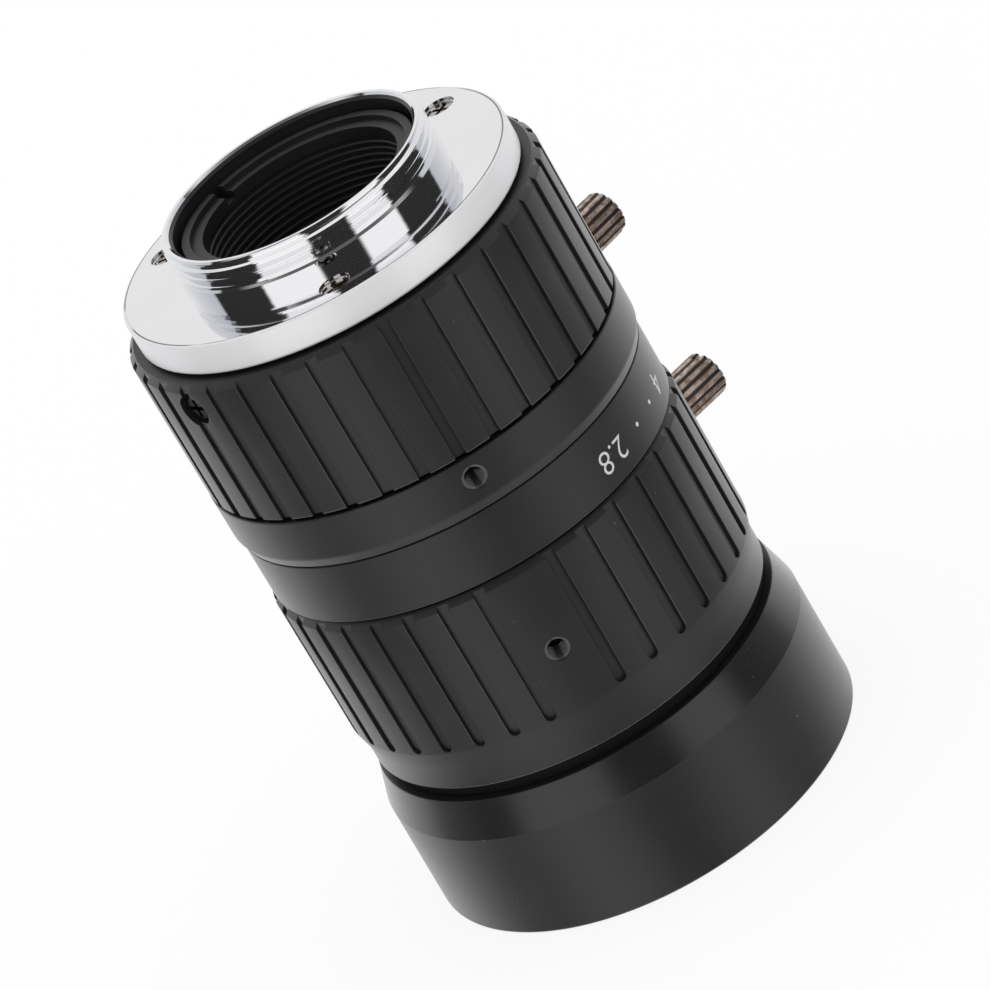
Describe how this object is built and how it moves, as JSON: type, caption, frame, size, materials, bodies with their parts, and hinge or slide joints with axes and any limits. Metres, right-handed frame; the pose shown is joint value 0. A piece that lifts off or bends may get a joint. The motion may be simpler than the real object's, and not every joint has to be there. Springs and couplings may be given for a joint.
{
  "type": "c-mount machine vision lens",
  "caption": "C-mount machine vision lens with knurled focus and aperture rings, lock screws, iris blades and a front hood.",
  "frame": {"origin": "middle of the hood's front rim, at the mouth of the filter thread", "axes": "+Z along the lens axis towards the camera; the lens stands on its hood; +X and +Y lie in the plane of the rim"},
  "size_m": [0.0453, 0.0416, 0.068],
  "materials": {
    "chrome": "polished chrome plate",
    "bright_steel": "machined steel",
    "black_barrel": "satin black anodised",
    "black_grip": "satin black anodised, milled",
    "black_hood": "satin black anodised, finely turned",
    "flat_black": "matt black anodised",
    "black_screw": "black oxide",
    "brass_bush": "machined brass",
    "bronze": "knurled brass with a brown finish",
    "blade_steel": "blackened spring steel",
    "glass": "coated optical glass"
  },
  "bodies": {
    "rear_body": {"c_mount_flange": "chrome", "flange_screws": "bright_steel", "rear_barrel": "black_barrel", "guide_bush": "brass_bush", "focus_key": "bright_steel"},
    "focus_ring": {"focus_grip": "black_grip", "focus_screws": "black_screw", "helicoid_nut": "brass_bush"},
    "front_body": {"front_barrel": "black_barrel", "baffle_tube": "flat_black", "rear_cell": "flat_black", "rear_glass_outer": "glass", "rear_spacer": "flat_black", "rear_glass_inner": "glass", "iris_housing": "flat_black", "iris_cover": "flat_black", "front_cell": "flat_black", "front_glass_inner": "glass", "front_spacer": "flat_black", "front_glass_outer": "glass", "front_retainer": "flat_black", "stop_ring": "black_barrel", "hood": "black_hood"},
    "aperture_ring": {"iris_grip": "black_grip", "iris_drive_pin": "bright_steel", "iris_rotor": "brass_bush"},
    "focus_lock": {"focus_lock_screw": "bronze"},
    "aperture_lock": {"iris_lock_screw": "bronze"},
    "blade_1": {"iris_blade_1": "blade_steel"},
    "blade_2": {"iris_blade_2": "blade_steel"},
    "blade_3": {"iris_blade_3": "blade_steel"},
    "blade_4": {"iris_blade_4": "blade_steel"},
    "blade_5": {"iris_blade_5": "blade_steel"},
    "blade_6": {"iris_blade_6": "blade_steel"}
  },
  "joints": [
    {"name": "focus_turn", "type": "hinge", "parent": "rear_body", "child": "focus_ring", "pos_m": [0, 0, 0.06045], "axis": [0, 0, 1], "range_deg": [0, 90]},
    {"name": "focus_slide", "type": "slide", "parent": "rear_body", "child": "front_body", "axis": [0, 0, -1], "range_m": [0, 0.004]},
    {"name": "aperture_turn", "type": "hinge", "parent": "front_body", "child": "aperture_ring", "pos_m": [0, 0, 0.02915], "axis": [0, 0, 1], "range_deg": [0, 45]},
    {"name": "focus_lock_turn", "type": "hinge", "parent": "rear_body", "child": "focus_lock", "pos_m": [0.01708, 0.01051, 0.0439], "axis": [0.8517, 0.524, 0], "range_deg": [-275, 720]},
    {"name": "aperture_lock_turn", "type": "hinge", "parent": "aperture_ring", "child": "aperture_lock", "pos_m": [0.01769, 0.00933, 0.02595], "axis": [0.8846, 0.4664, 0], "range_deg": [-275, 720]},
    {"name": "blade_1_turn", "type": "hinge", "parent": "front_body", "child": "blade_1", "pos_m": [0.00959, 0.00204, 0.02707], "axis": [0, 0, 1], "range_deg": [0, 22]},
    {"name": "blade_2_turn", "type": "hinge", "parent": "front_body", "child": "blade_2", "pos_m": [0.00303, 0.00932, 0.02707], "axis": [0, 0, 1], "range_deg": [0, 22]},
    {"name": "blade_3_turn", "type": "hinge", "parent": "front_body", "child": "blade_3", "pos_m": [-0.00656, 0.00728, 0.02707], "axis": [0, 0, 1], "range_deg": [0, 22]},
    {"name": "blade_4_turn", "type": "hinge", "parent": "front_body", "child": "blade_4", "pos_m": [-0.00959, -0.00204, 0.02707], "axis": [0, 0, 1], "range_deg": [0, 22]},
    {"name": "blade_5_turn", "type": "hinge", "parent": "front_body", "child": "blade_5", "pos_m": [-0.00303, -0.00932, 0.02707], "axis": [0, 0, 1], "range_deg": [0, 22]},
    {"name": "blade_6_turn", "type": "hinge", "parent": "front_body", "child": "blade_6", "pos_m": [0.00656, -0.00728, 0.02707], "axis": [0, 0, 1], "range_deg": [0, 22]}
  ],
  "couplings": [
    {"joint": "focus_turn", "follows": "focus_slide", "rad_per_m": 392.7},
    {"joint": "blade_1_turn", "follows": "aperture_turn", "ratio": 0.48889},
    {"joint": "blade_2_turn", "follows": "aperture_turn", "ratio": 0.48889},
    {"joint": "blade_3_turn", "follows": "aperture_turn", "ratio": 0.48889},
    {"joint": "blade_4_turn", "follows": "aperture_turn", "ratio": 0.48889},
    {"joint": "blade_5_turn", "follows": "aperture_turn", "ratio": 0.48889},
    {"joint": "blade_6_turn", "follows": "aperture_turn", "ratio": 0.48889}
  ]
}
